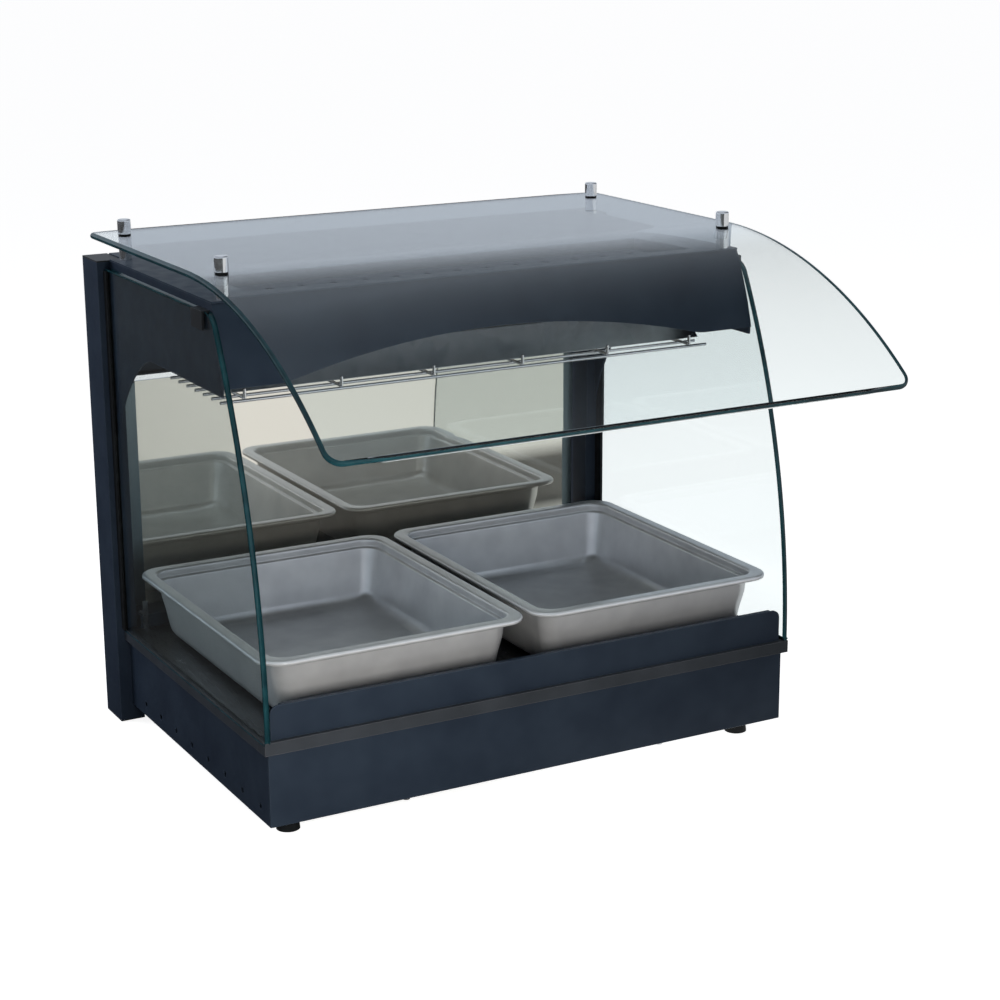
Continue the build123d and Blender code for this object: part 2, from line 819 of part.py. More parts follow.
def pan(side):
    """Food pan with tapered walls, a flat rim and a turned-down lip, standing on the deck."""
    rim_top = pan_depth
    top_w, top_l = pan_width - 2 * pan_rim, pan_length - 2 * pan_rim
    low_w, low_l = top_w - 2 * pan_taper, top_l - 2 * pan_taper
    inner_corner = pan_corner - 2
    outer = loft([rounded_plate(low_w, low_l, inner_corner, 0),
                  rounded_plate(top_w, top_l, inner_corner, rim_top)])
    outer = fillet(outer.edges().group_by(Axis.Z)[0], 6)
    slope = pan_taper / pan_depth
    in_w, in_l = top_w - 2 * pan_sheet, top_l - 2 * pan_sheet
    rise = 2 * slope * pan_sheet
    inner = loft([rounded_plate(low_w - 2 * pan_sheet + rise, low_l - 2 * pan_sheet + rise,
                                inner_corner - pan_sheet, pan_sheet),
                  rounded_plate(in_w, in_l, inner_corner - pan_sheet, rim_top)])
    inner = fillet(inner.edges().group_by(Axis.Z)[0], 5)
    lip = extrude(rounded_plate(pan_width, pan_length, pan_corner, rim_top - pan_lip), pan_lip)
    lip -= extrude(rounded_plate(pan_width - 2 * pan_sheet, pan_length - 2 * pan_sheet,
                                 pan_corner - pan_sheet, rim_top - pan_lip), pan_lip - pan_sheet)
    shape = outer + lip - inner
    centre_x = side * (pan_width + pan_gap) / 2
    return Pos(centre_x, pan_front_gap + pan_length / 2, deck_top + fit) * shape


def control_body(x, width, depth):
    """Rotary control inside the base, with a bush through the rear panel."""
    y1 = rear_panel_front
    body = block(x - width / 2, x + width / 2, y1 - depth, y1,
                 control_height - width / 2, control_height + width / 2)
    bush = rod_y(x, y1, panel_back + bush_stand, control_height, bush_diameter)
    bore = rod_y(x, y1 - shaft_depth - 1, panel_back + bush_stand + 1, control_height,
                 shaft_diameter + 2 * running)
    return body + bush - bore


def control_shaft(x):
    """Shaft that turns in the bush and carries the knob."""
    return rod_y(x, rear_panel_front - shaft_depth, panel_back + shaft_stand, control_height,
                 shaft_diameter)


def control_knob(x):
    """Round fluted knob with a pointer rib."""
    y0 = panel_back + bush_stand + 2 * fit
    y1 = y0 + knob_height
    knob = rod_y(x, y0, y1, control_height, knob_diameter)
    knob = chamfer(knob.edges().group_by(Axis.Y)[-1], 1.5)
    reach = knob_diameter / 2 + flute_diameter / 5
    for index in range(knob_flutes):
        angle = math.radians((index + 0.5) * 360 / knob_flutes)
        knob -= rod_y(x + reach * math.cos(angle), y0 + 3, y1 + 1,
                      control_height + reach * math.sin(angle), flute_diameter)
    pointer = block(x - 1, x + 1, y1, y1 + 0.8, control_height + 3,
                    control_height + knob_diameter / 2 - 3)
    bore = rod_y(x, y0 - 1, panel_back + shaft_stand, control_height, shaft_diameter)
    return knob + pointer - bore


def switch_housing():
    """Snap-in frame of the power switch with its contact box and the rocker's pin."""
    w, h = rocker_width / 2, rocker_height / 2
    wall = switch_wall
    frame = block(switch_x - w - 2 * wall, switch_x + w + 2 * wall, panel_back, panel_back + wall,
                  control_height - h - 2 * wall, control_height + h + 2 * wall)
    box = block(switch_x - w - wall, switch_x + w + wall, panel_back - switch_depth, panel_back,
                control_height - h - wall, control_height + h + wall)
    well = block(switch_x - w - fit, switch_x + w + fit, panel_back - switch_depth + 6,
                 panel_back + 2 * wall, control_height - h - fit, control_height + h + fit)
    pin = rod_x(switch_x - w - wall / 2, switch_x + w + wall / 2, rocker_axis_y, control_height,
                rocker_pin)
    return frame + box - well + pin


def switch_rocker():
    """Rocker of the power switch, a shallow V that tips on the pin in its housing."""
    y0, y1 = rocker_axis_y - 3.5, panel_back + 3.4
    h = rocker_height / 2 - 1.6
    outline = Polyline((y0, control_height), (y1 - 4.4, control_height - h),
                       (y1, control_height - h), (y1 - 1.4, control_height),
                       (y1, control_height + h), (y1 - 4.4, control_height + h),
                       (y0, control_height))
    rocker = side_profile([outline], switch_x - rocker_width / 2, switch_x + rocker_width / 2)
    return rocker - rod_x(switch_x - rocker_width, switch_x + rocker_width, rocker_axis_y,
                          control_height, rocker_pin + 2 * running)


def power_inlet():
    """Mains inlet socket with a flange and three contact blades."""
    w, h = inlet_width / 2, inlet_height / 2
    wing = inlet_flange_width / 2
    deep = panel_back - 15
    flange = block(inlet_x - wing, inlet_x + wing, panel_back, panel_back + 2.5,
                   control_height - h - 2, control_height + h + 2)
    shell = block(inlet_x - w, inlet_x + w, deep - 3, panel_back, control_height - h,
                  control_height + h)
    well = block(inlet_x - w + 2, inlet_x + w - 2, deep, panel_back + 3,
                 control_height - h + 2, control_height + h - 2)
    body = flange + shell - well
    for dx, dz in ((-7, -2), (0, 2), (7, -2)):
        body += block(inlet_x + dx - 1, inlet_x + dx + 1, deep, panel_back - 2.5,
                      control_height + dz - 2, control_height + dz + 2)
    return body


def pilot_lamp():
    """Round indicator lens beside the switch, on the rear panel."""
    return rod_y(switch_x + lamp_spacing, panel_back, panel_back + 4, control_height, lamp_diameter)


def terminal_block():
    """Screw terminal block on the bottom cover."""
    half = terminal_count * terminal_pitch / 2
    back = terminal_setback + terminal_width
    strip = block(-half, half, terminal_setback, back, 0, terminal_height)
    for index in range(terminal_count):
        x = (index - (terminal_count - 1) / 2) * terminal_pitch
        strip -= rod_z(x, (terminal_setback + back) / 2, terminal_height / 2, terminal_height + 1, 6)
    return strip


def wiring_sheath():
    """Sheathed lead from the base up inside the right column to the overhead heater."""
    x0, x1 = column_inner - sheath_reach, (column_inner + column_outer) / 2
    path = FilletPolyline((x0, sheath_y, sheath_low), (x1, sheath_y, sheath_low),
                          (x1, sheath_y, sheath_high), (x0, sheath_y, sheath_high),
                          radius=sheath_bend)
    return sweep(Plane(origin=path @ 0, z_dir=path % 0) * Circle(sheath_diameter / 2), path=path)


def sheath_hole(shape):
    """The column with the two holes that the sheath passes through."""
    for z in (sheath_low, sheath_high):
        shape -= rod_x(column_inner - 1, column_inner + column_wall + 1, sheath_y, z,
                       sheath_diameter + 2 * sheath_grommet_wall)
    return shape


def sheath_grommets():
    """Two grommets that line the sheath's holes in the column."""
    pieces = []
    outer = sheath_diameter + 2 * sheath_grommet_wall
    for z in (sheath_low, sheath_high):
        ring = rod_x(column_inner, column_inner + column_wall, sheath_y, z, outer)
        ring += rod_x(column_inner - 1.5, column_inner, sheath_y, z, outer + 3)
        pieces.append(ring - rod_x(column_inner - 3, column_inner + 2 * column_wall, sheath_y, z,
                                   sheath_diameter + 2 * running))
    return pieces


os.makedirs("parts", exist_ok=True)
canopy_glass_solid = canopy()
save("base_front_panel", base_front_panel())
save("base_side_left", base_side())
save("base_side_right", other_side(base_side()))
save("base_rear_panel", base_rear_panel())
save("base_bottom_cover", base_bottom_cover())
save("trim_strip_front", trim_front())
save("trim_strip_sides", trim_side(), other_side(trim_side()))
save("deck_plate", deck_plate())
save("deck_heating_mat", deck_heater())
save("insulation_board", insulation())
save("insulation_tray", insulation_tray())
save("upper_front_panel", upper_front_panel())
save("feet", *feet())
save("column_left", column())
save("column_right", sheath_hole(other_side(column())))
top_plug = column_plug(column_top, column_top + 1.5, -1)
bottom_plug = column_plug(-column_drop - 1.0, -column_drop, 1)
save("column_plugs", top_plug, other_side(top_plug), bottom_plug, other_side(bottom_plug))
save("heater_lead_sheath", wiring_sheath())
save("sheath_grommets", *sheath_grommets())
save("cover_screws", *cover_screws())
save("rear_sill", sill())
save("sill_clips", sill_clip(), other_side(sill_clip()))
save("door_mirror", door_mirror())
save("door_edges", door_edge(), other_side(door_edge()))
save("door_rail", door_rail())
save("door_handle", door_handle())
save("door_hinge_pins", door_pin(), other_side(door_pin()))
save("door_pivot_plates", door_pivot(), other_side(door_pivot()))
save("hood_fascia", hood_fascia())
save("hood_side_left", hood_side())
save("hood_side_right", other_side(hood_side()))
save("hood_top_panel", hood_top_panel())
save("hood_floor_panel", hood_floor_panel())
save("hood_rear_panel", hood_rear_panel())
save("heater_reflector", heater_reflector())
save("reflector_ends", reflector_end(), other_side(reflector_end()))
save("heating_tubes", *heating_tubes())
save("tube_sockets", *tube_sockets())
save("reflector_hangers", reflector_hanger(), other_side(reflector_hanger()))
save("heater_guard", *guard())
save("side_glass_left", side_glass_pane())
save("side_glass_right", other_side(side_glass_pane()))
save("side_glass_channels", side_glass_seal(), other_side(side_glass_seal()))
save("side_glass_clips", side_glass_clip(), other_side(side_glass_clip()))
save("canopy_glass", canopy_glass_solid)
save("canopy_posts", *canopy_posts())
save("canopy_grommets", *canopy_grommets(canopy_glass_solid))
save("canopy_caps", *canopy_caps())
save("pan_left", pan(-1))
save("pan_right", pan(1))
save("thermostat_body", control_body(thermostat_x, thermostat_width, thermostat_depth))
save("thermostat_shaft", control_shaft(thermostat_x))
save("thermostat_knob", control_knob(thermostat_x))
save("overhead_control_body",
     control_body(overhead_control_x, overhead_control_width, overhead_control_depth))
save("overhead_control_shaft", control_shaft(overhead_control_x))
save("overhead_control_knob", control_knob(overhead_control_x))
save("power_switch_housing", switch_housing())
save("power_switch_rocker", switch_rocker())
save("power_inlet", power_inlet())
save("pilot_lamp", pilot_lamp())
save("terminal_block", terminal_block())
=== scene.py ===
import bpy
import math
import numpy as np
from mathutils import Matrix, Vector


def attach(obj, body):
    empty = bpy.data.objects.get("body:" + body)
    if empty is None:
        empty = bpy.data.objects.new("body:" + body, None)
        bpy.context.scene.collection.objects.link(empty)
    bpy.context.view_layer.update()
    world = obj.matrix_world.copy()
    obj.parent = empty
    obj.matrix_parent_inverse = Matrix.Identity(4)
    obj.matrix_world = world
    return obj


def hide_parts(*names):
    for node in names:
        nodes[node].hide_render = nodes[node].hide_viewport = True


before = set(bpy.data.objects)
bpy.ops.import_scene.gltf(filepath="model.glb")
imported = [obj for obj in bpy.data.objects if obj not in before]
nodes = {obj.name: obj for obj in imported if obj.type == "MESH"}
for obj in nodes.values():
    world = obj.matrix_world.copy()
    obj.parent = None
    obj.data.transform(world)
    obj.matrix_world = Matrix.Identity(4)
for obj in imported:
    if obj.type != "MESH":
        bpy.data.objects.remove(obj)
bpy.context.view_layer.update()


# The photographer's camera: a short telephoto standing to the customer's left of the case and a
# little above it. Its place was found from the rims of the two pans and the case's straight edges.
camera_place = Vector((-0.9675, -1.8070, 0.8226))
camera_azimuth, camera_elevation, camera_roll = (math.radians(a) for a in (-28.675, 15.49, -0.339))
camera_lens, sensor_width = 79.85, 36.0

camera_back = Vector((math.sin(camera_azimuth) * math.cos(camera_elevation),
                      -math.cos(camera_azimuth) * math.cos(camera_elevation),
                      math.sin(camera_elevation)))
level_right = (-camera_back).cross(Vector((0, 0, 1))).normalized()
level_up = level_right.cross(-camera_back)
camera_right = level_right * math.cos(camera_roll) + level_up * math.sin(camera_roll)
camera_up = level_up * math.cos(camera_roll) - level_right * math.sin(camera_roll)
camera_data = bpy.data.cameras.new("photo_camera")
camera_data.lens, camera_data.sensor_width = camera_lens, sensor_width
camera_data.sensor_fit = "HORIZONTAL"
camera_data.clip_start, camera_data.clip_end = 0.05, 200.0
camera = bpy.data.objects.new("photo_camera", camera_data)
bpy.context.scene.collection.objects.link(camera)
turn = Matrix((camera_right, camera_up, camera_back)).transposed().to_4x4()
camera.matrix_world = Matrix.Translation(camera_place) @ turn
bpy.context.scene.camera = camera
bpy.context.scene.view_settings.view_transform = "Standard"


# The floor is a large plain sheet of white paper. It takes the case's soft shadow, and shows near
# white to the camera and through glass, as a studio sweep does that is lit on its own. Reflections
# see painted reflection: black on the left, and painted shade in a strip before the case.
floor_half, paper_colour, paper_glow = 60.0, "#d6d6d6", 0.87
# Painted reflection: the span and levels of the bands that reflections see across the floor, and
# the strip of painted shade before the case.
reflection_band_span = (-1.3, 0.5)
reflection_bands = ((-1.0, 0.05), (-0.7, 0.02), (-0.05, 0.03), (0.12, 0.90))
strip_y, strip_half_width, strip_fade_end, strip_level = -0.34, 0.1, 0.18, 0.1


def linear(code, alpha=1.0):
    """An sRGB hex code as linear colour: each channel to the 2.4 power law, with a straight toe."""
    c = np.array([int(code[i:i + 2], 16) / 255 for i in (1, 3, 5)])
    c = np.where(c <= 0.04045, c / 12.92, ((c + 0.055) / 1.055) ** 2.4)
    return (*c.tolist(), alpha)


def add(tree, kind, settings=None, links=None, **values):
    """Add one node: its properties, its input values, and links from other nodes' outputs."""
    node = tree.nodes.new(kind)
    for name, value in (settings or {}).items():
        setattr(node, name, value)
    for name, value in values.items():
        node.inputs[name.replace("_", " ")].default_value = value
    for name, source in (links or {}).items():
        tree.links.new(source, node.inputs[name])
    return node


def maths(tree, operation, *terms, use_clamp=False):
    """One math node, whose terms are numbers or other nodes' outputs."""
    node = add(tree, "ShaderNodeMath", {"operation": operation, "use_clamp": use_clamp})
    for socket, term in zip(node.inputs, terms):
        if isinstance(term, float):
            socket.default_value = term
        else:
            tree.links.new(term, socket)
    return node.outputs[0]


def ramp(tree, factor, stops):
    """A colour ramp with a stop for each pair of a position and a linear colour."""
    node = add(tree, "ShaderNodeValToRGB", None, {0: factor})
    elements = node.color_ramp.elements
    while len(elements) < len(stops):
        elements.new(0.5)
    for element, (position, colour) in zip(elements, stops):
        element.position, element.color = position, colour
    return node.outputs[0]


def span(tree, factor, low, high, source=(0.3, 0.7)):
    """A number between low and high, as factor goes over source."""
    node = add(tree, "ShaderNodeMapRange", None, {"Value": factor})
    for name, value in zip(("From Min", "From Max", "To Min", "To Max"), (*source, low, high)):
        node.inputs[name].default_value = value
    return node.outputs[0]


def new_material(name):
    """An empty node material, its node tree and its output node."""
    material = bpy.data.materials.new(name)
    material.use_nodes = True
    material.node_tree.nodes.clear()
    return material, material.node_tree, add(material.node_tree, "ShaderNodeOutputMaterial")


def seen_rays(tree):
    """1 for rays from the camera, a mirror or glass, and 0 for the rest."""
    path = add(tree, "ShaderNodeLightPath").outputs
    either = maths(tree, "MAXIMUM", path["Is Camera Ray"], path["Is Glossy Ray"])
    return maths(tree, "MAXIMUM", either, path["Is Transmission Ray"])


def mirrored_rays(tree):
    """1 for rays that a gloss or a mirror has turned back on their way, and 0 for the rest."""
    path = add(tree, "ShaderNodeLightPath").outputs
    return maths(tree, "MINIMUM", path["Glossy Depth"], seen_rays(tree))


def put_mesh(name, points, faces, materials, face_slots=None, smooth=True):
    """A new object from points and faces, with its materials and shading set."""
    mesh = bpy.data.meshes.new(name)
    faces = faces.tolist() if isinstance(faces, np.ndarray) else faces
    mesh.from_pydata(np.asarray(points).tolist(), [], faces)
    for material in materials:
        mesh.materials.append(material)
    if face_slots is not None:
        mesh.polygons.foreach_set("material_index", np.asarray(face_slots, dtype=np.int32))
    mesh.polygons.foreach_set("use_smooth", np.full(len(mesh.polygons), smooth))
    mesh.update()
    piece = bpy.data.objects.new(name, mesh)
    bpy.context.scene.collection.objects.link(piece)
    return piece


paper, tree, out = new_material("studio_paper")
matt = add(tree, "ShaderNodeBsdfDiffuse", Color=linear(paper_colour))
glowing = add(tree, "ShaderNodeEmission", None,
              {"Strength": maths(tree, "MULTIPLY", seen_rays(tree), paper_glow)})
lit_paper = add(tree, "ShaderNodeAddShader", None, {0: matt.outputs[0], 1: glowing.outputs[0]})
spot = add(tree, "ShaderNodeSeparateXYZ", None,
           {0: add(tree, "ShaderNodeTexCoord").outputs["Object"]})
bands = ramp(tree, span(tree, spot.outputs["X"], 0, 1, reflection_band_span),
             [((x - reflection_band_span[0]) / (reflection_band_span[1] - reflection_band_span[0]), (level, level, level, 1))
              for x, level in reflection_bands])
from_strip = maths(tree, "ABSOLUTE", maths(tree, "ADD", spot.outputs["Y"], -strip_y))
strip = span(tree, from_strip, strip_level, 1.0, (strip_half_width, strip_fade_end))
# Painted reflection: the glow that reflections see in place of the lit floor, with the strip's
# painted shade.
painted_floor_reflection = add(tree, "ShaderNodeEmission", None, {"Strength": maths(tree, "MULTIPLY", bands, strip)})
laid = add(tree, "ShaderNodeMixShader", None,
           {0: mirrored_rays(tree), 1: lit_paper.outputs[0], 2: painted_floor_reflection.outputs[0]})
tree.links.new(laid.outputs[0], out.inputs["Surface"])
floor_corners = [(-floor_half, -floor_half, 0), (floor_half, -floor_half, 0),
                 (floor_half, floor_half, 0), (-floor_half, floor_half, 0)]
floor = put_mesh("studio_floor", floor_corners, [(0, 1, 2, 3)], [paper], smooth=False)


# The studio: white all round for the camera and through glass, and a dim fill for matt surfaces.
# Reflections see it white low down and a bluish grey above, darker in three directions: each is
# given with the cosines where its shade is full and where it ends, and how light it stays there.
ceiling_levels = ((0.28, 0.95), (0.48, 0.46), (0.80, 0.40), (1.0, 0.7))
ceiling_tint = np.array([0.90, 0.98, 1.10])
shaded_directions = (((0.50, -0.80, 0.34), 0.9, 0.55, 0.9),
                     ((0.46, 0.85, 0.27), 0.96, 0.7, 0.68),
                     ((0.75, 0.20, 0.63), 0.96, 0.82, 0.05))
fill_colour, fill_strength = "#f4f7ff", 0.18

world = bpy.data.worlds.new("studio")
bpy.context.scene.world = world
world.use_nodes = True
tree = world.node_tree
tree.nodes.clear()
world_out = add(tree, "ShaderNodeOutputWorld")
direction = add(tree, "ShaderNodeTexCoord").outputs["Generated"]
height = add(tree, "ShaderNodeSeparateXYZ", None, {0: direction})
shades = ramp(tree, height.outputs["Z"], [(position, (*(ceiling_tint * level).tolist(), 1))
                                          for position, level in ceiling_levels])
for toward, near, far, low in shaded_directions:
    facing = add(tree, "ShaderNodeVectorMath", {"operation": "DOT_PRODUCT"}, {0: direction})
    facing.inputs[1].default_value = Vector(toward).normalized()
    shade = span(tree, facing.outputs["Value"], 1.0, low, (far, near))
    shades = add(tree, "ShaderNodeVectorMath", {"operation": "SCALE"},
                 {0: shades, "Scale": shade}).outputs[0]
white = add(tree, "ShaderNodeBackground", Color=(1, 1, 1, 1), Strength=1.0)
shaded = add(tree, "ShaderNodeBackground", None, {"Color": shades})
fill_light = add(tree, "ShaderNodeBackground", Color=linear(fill_colour), Strength=fill_strength)
plain = add(tree, "ShaderNodeMixShader", None,
            {0: seen_rays(tree), 1: fill_light.outputs[0], 2: white.outputs[0]})
choose = add(tree, "ShaderNodeMixShader", None,
             {0: mirrored_rays(tree), 1: plain.outputs[0], 2: shaded.outputs[0]})
tree.links.new(choose.outputs[0], world_out.inputs[0])


# A glowing grey card far behind the case, which only the glass shows: it is painted reflection, for
# the grey that the top glass shows in the photograph, where there is white everywhere else. It
# stands card_reach metres from the camera.
# Its corners are given as the camera sees them, across and down a view divided into view_parts.
view_parts = 1000
card_outline = ((130, 254), (728, 232), (728, 120), (130, 120))
card_reach, painted_reflection_grey = 5.0, "#7a828c"
part_width = card_reach * sensor_width / camera_lens / view_parts
card_corners = [camera_place - camera_back * card_reach
                + camera_right * ((across - view_parts / 2) * part_width)
                + camera_up * ((view_parts / 2 - down) * part_width)
                for across, down in card_outline]
# The card's painted reflection: a glow of its grey, seen only through glass.
card_paint, tree, out = new_material("painted_reflection_card")
card_shade = add(tree, "ShaderNodeEmission", Color=linear(painted_reflection_grey))
tree.links.new(card_shade.outputs[0], out.inputs["Surface"])
card = put_mesh("painted_reflection_card", card_corners, [(0, 1, 2, 3)], [card_paint], smooth=False)
card.visible_camera = card.visible_diffuse = card.visible_glossy = card.visible_shadow = False


# Three soft boxes light the case and are not seen themselves: the key low and close on the left, so
# that the front falls off to the right, a large one overhead, and one behind the left side. Each
# has its place and aim in metres, its width and length, its power in watts and its colour.
soft_boxes = (("key_box", (-0.30, -0.64, 0.20), (-0.20, -0.20, 0.10), 0.25, 0.25, 2.5, "#fffaf2"),
              ("top_box", (0.15, -0.05, 1.9), (0.0, 0.0, 0.2), 1.3, 1.0, 13.0, "#ffffff"),
              ("side_box", (-0.95, 0.70, 0.60), (-0.28, 0.15, 0.25), 0.5, 0.5, 4.0, "#f2f6ff"))
for name, place, aim, width, length, power, colour in soft_boxes:
    lamp = bpy.data.lights.new(name, "AREA")
    lamp.shape, lamp.size, lamp.size_y = "RECTANGLE", width, length
    lamp.energy, lamp.color = power, linear(colour)[:3]
    box = bpy.data.objects.new(name, lamp)
    bpy.context.scene.collection.objects.link(box)
    box.location = place
    box.visible_camera = box.visible_transmission = box.visible_glossy = False
    box.rotation_euler = (Vector(aim) - Vector(place)).to_track_quat("-Z", "Y").to_euler()


# Body panels: zinc-coated sheet steel of 1.5 mm, folded, and finished in a dark blue-grey
# polyester powder coat. It is satin, with a fine orange peel, and a little paler on the folds.
powder_dark, powder_light = "#242d3a", "#2c3643"
peel_size, peel_depth, mottle_size, fold_radius = 0.0011, 0.00002, 0.045, 0.0007
coat_gloss = 0.12
mix_first, mix_second, mix_result = 6, 7, 2  # the Mix node's colour sockets, by their place


def principled(name, colour, roughness, metallic=0.0, **values):
    """A material with one Principled shader, and the parts needed to add patterns to it."""
    material, tree, out = new_material(name)
    shader = add(tree, "ShaderNodeBsdfPrincipled", Roughness=roughness, Metallic=metallic, **values)
    shader.inputs["Base Color"].default_value = linear(colour)
    tree.links.new(shader.outputs[0], out.inputs["Surface"])
    place = add(tree, "ShaderNodeTexCoord").outputs["Object"]
    return material, tree, shader, place


def noise(tree, place, size, stretch=(1, 1, 1), detail=2.0):
    """Noise whose grains are size metres across, and longer along each axis by its stretch."""
    scaled = add(tree, "ShaderNodeMapping", None, {"Vector": place}, Scale=[1 / s for s in stretch])
    return add(tree, "ShaderNodeTexNoise", None, {"Vector": scaled.outputs[0]},
               Scale=1 / size, Detail=detail).outputs[0]


def mix_colours(tree, factor, low, high, spread=(0.3, 0.7)):
    """A colour between two hex codes, as factor goes over spread."""
    return ramp(tree, factor, list(zip(spread, (linear(low), linear(high)))))


def drive(tree, shader, **outputs):
    """Link other nodes' outputs to a shader's inputs, whose names have _ for a space."""
    for name, output in outputs.items():
        tree.links.new(output, shader.inputs[name.replace("_", " ")])


def bump(tree, shader, height, depth, strength=1.0, soft_edges=0.0):
    """Relief of depth metres on a shader, over edges rounded by soft_edges metres."""
    node = add(tree, "ShaderNodeBump", None, {"Height": height}, Strength=strength, Distance=depth)
    if soft_edges:
        rounded = add(tree, "ShaderNodeBevel", {"samples": 4}, Radius=soft_edges)
        tree.links.new(rounded.outputs[0], node.inputs["Normal"])
    drive(tree, shader, Normal=node.outputs[0])


def edge_wear(tree, radius):
    """How far the rounded and the true surface directions part: 0 on flats, rising on edges."""
    rounded = add(tree, "ShaderNodeBevel", {"samples": 4}, Radius=radius)
    flat = add(tree, "ShaderNodeNewGeometry")
    dot = add(tree, "ShaderNodeVectorMath", {"operation": "DOT_PRODUCT"},
              {0: rounded.outputs[0], 1: flat.outputs["True Normal"]})
    return maths(tree, "SUBTRACT", 1.0, dot.outputs["Value"], use_clamp=True)


def powder_coat(name, dark, light, worn, roughness):
    """Powder coat: a faint mottle of two shades, paler on folds, with orange peel in relief."""
    material, tree, shader, place = principled(name, dark, roughness, Specular_IOR_Level=coat_gloss)
    wear = span(tree, edge_wear(tree, 2 * fold_radius), 0, 0.55, (0.0, 0.25))
    coat = mix_colours(tree, noise(tree, place, mottle_size), dark, light)
    shade = add(tree, "ShaderNodeMix", {"data_type": "RGBA"}, {"Factor": wear, mix_first: coat})
    shade.inputs[mix_second].default_value = linear(worn)
    sheen = noise(tree, place, mottle_size / 3)
    drive(tree, shader, Base_Color=shade.outputs[mix_result],
          Roughness=span(tree, sheen, roughness - 0.04, roughness + 0.05))
    bump(tree, shader, noise(tree, place, peel_size), peel_depth, 0.3, fold_radius)
    return material


def finish_nodes(material, slot, *names):
    """Give carried-over nodes a finish; the slot is not used."""
    for name in names:
        mesh = nodes[name].data
        mesh.materials.clear()
        mesh.materials.append(material)


powder = powder_coat("powder_coat_blue_grey", powder_dark, powder_light, "#4a5563", 0.42)
finish_nodes(powder, "dark_paint", "base_front_panel", "base_side_left", "base_side_right",
             "base_rear_panel", "upper_front_panel", "column_left", "column_right", "hood_fascia",
             "hood_side_left", "hood_side_right", "hood_top_panel", "hood_rear_panel", "rear_sill")


# Trim strip: an extruded strip round the top of the base, which the side glass stands on. Its
# coat is a paler and more neutral grey than the panels, and smoother.
trim = powder_coat("trim_coat_grey", "#32363b", "#3b3f45", "#67656a", 0.38)
finish_nodes(trim, "trim_paint", "trim_strip_front", "trim_strip_sides")


# Warm deck: hard-coated black sheet, semi-gloss, rubbed in fine streaks where pans have slid on it.
deck, tree, shader, place = principled("deck_hard_coat", "#191c20", 0.3, Specular_IOR_Level=0.5)
rubbed = noise(tree, place, 0.0012, (1, 22, 1), 3)
drive(tree, shader, Base_Color=mix_colours(tree, rubbed, "#15181c", "#23272c", (0.45, 0.75)),
      Roughness=span(tree, rubbed, 0.24, 0.42))
bump(tree, shader, rubbed, 0.00002, 0.3, fold_radius)
finish_nodes(deck, "deck_black", "deck_plate")


# Hidden sheet: galvanised steel left as it comes from the mill, with its crystal spangle about
# 12 mm across, for the covers, trays and straps that nobody sees in use.
zinc, tree, shader, place = principled("galvanised_sheet", "#9ea3a6", 0.38, 1.0)
spangle = add(tree, "ShaderNodeTexVoronoi", {"feature": "F1"}, {"Vector": place}, Scale=1 / 0.012)
flakes = add(tree, "ShaderNodeSeparateColor", None, {0: spangle.outputs["Color"]}).outputs[0]
drive(tree, shader, Base_Color=mix_colours(tree, flakes, "#8d9397", "#b4b8ba", (0.0, 1.0)),
      Roughness=span(tree, flakes, 0.3, 0.48, (0.0, 1.0)))
bump(tree, shader, noise(tree, place, 0.002), 0.000006, 0.3, fold_radius)
finish_nodes(zinc, "zinc_sheet", "base_bottom_cover", "insulation_tray", "hood_floor_panel",
             "reflector_hangers", "door_pivot_plates")


# Pans: two half-size serving pans of 0.9 mm stainless steel, deep drawn, with a flat rim whose edge
# is rolled down, a stacking shoulder under it, tapered walls and well-rounded corners. Drawing
# leaves a soft satin with faint vertical marks on the walls.
pan_half_width, pan_half_length, pan_height, pan_underside_z = 0.1325, 0.1625, 0.065, 0.1023
pan_steel, pan_lip_radius = 0.0009, 0.0019
pan_wall_top_inset, pan_wall_low_inset, pan_wall_drop = 0.0140, 0.0225, 0.012
pan_bottom_radius, pan_bottom_ease = 0.013, 0.0005
# The rim's section: insets from its outside, depths below its flat, and a radius after each arc's
# centre. The foot of the lip is inset from the middle of the steel, and the wall's two points bulge
# inward from the straight line between its insets.
pan_lip_foot = ((0.0003, 0.0036), (0.0, 0.0030))
pan_rim_flat = ((0.006, 0.0), (0.0098, 0.0001))
pan_rim_turn, pan_shoulder_top = ((0.0100, 0.0021), 0.0020), (0.0121, 0.0060)
pan_shoulder_in, pan_shoulder_down = ((0.0133, 0.0072), 0.0012), ((0.0134, 0.0100), 0.0013)
pan_wall_high, pan_wall_middle = (0.0016, 0.020), (0.0008, 0.036)
pan_rim_corner, pan_least_corner, pan_corner_narrowing = 0.022, 0.012, 0.35
pan_floor_inset, pan_corner_widening = 0.022, 1.2
pan_floor_fall, pan_floor_corner, pan_floor_rings = 0.0004, 0.03, (0.75, 0.5, 0.25, 0.06)
pan_centres = {"pan_left": (-0.137, 0.0572), "pan_right": (0.137, 0.0572)}


def grid_faces(rows, columns, closed=False):
    """Quads that join a grid of points row by row; closed joins each row's end to its start."""
    r = np.arange(rows - 1)[:, None]
    c = np.arange(columns if closed else columns - 1)[None, :]
    after = (c + 1) % columns
    quads = np.stack([r * columns + c, r * columns + after,
                      (r + 1) * columns + after, (r + 1) * columns + c], -1)
    return quads.reshape(-1, 4)


def rounded_loop(half_x, half_y, corner, per_corner=12, per_side=10):
    """Points round a rectangle with rounded corners: each corner is an arc of the corner radius,
    and a straight run leads from its end to the start of the next."""
    signs = np.array([(1, 1), (-1, 1), (-1, -1), (1, -1)])
    centres = signs * np.array([half_x - corner, half_y - corner])
    along = np.linspace(0, 1, per_side + 2)[1:-1, None]
    spots = []
    for k, (centre, following) in enumerate(zip(centres, np.roll(centres, -1, 0))):
        a = np.radians(90 * k) + np.linspace(0, np.pi / 2, per_corner)
        arc = corner * np.stack([np.cos(a), np.sin(a)], -1)
        spots.append(centre + arc)
        spots.append((centre + arc[-1]) * (1 - along) + (following + arc[-1]) * along)
    return np.concatenate(spots)


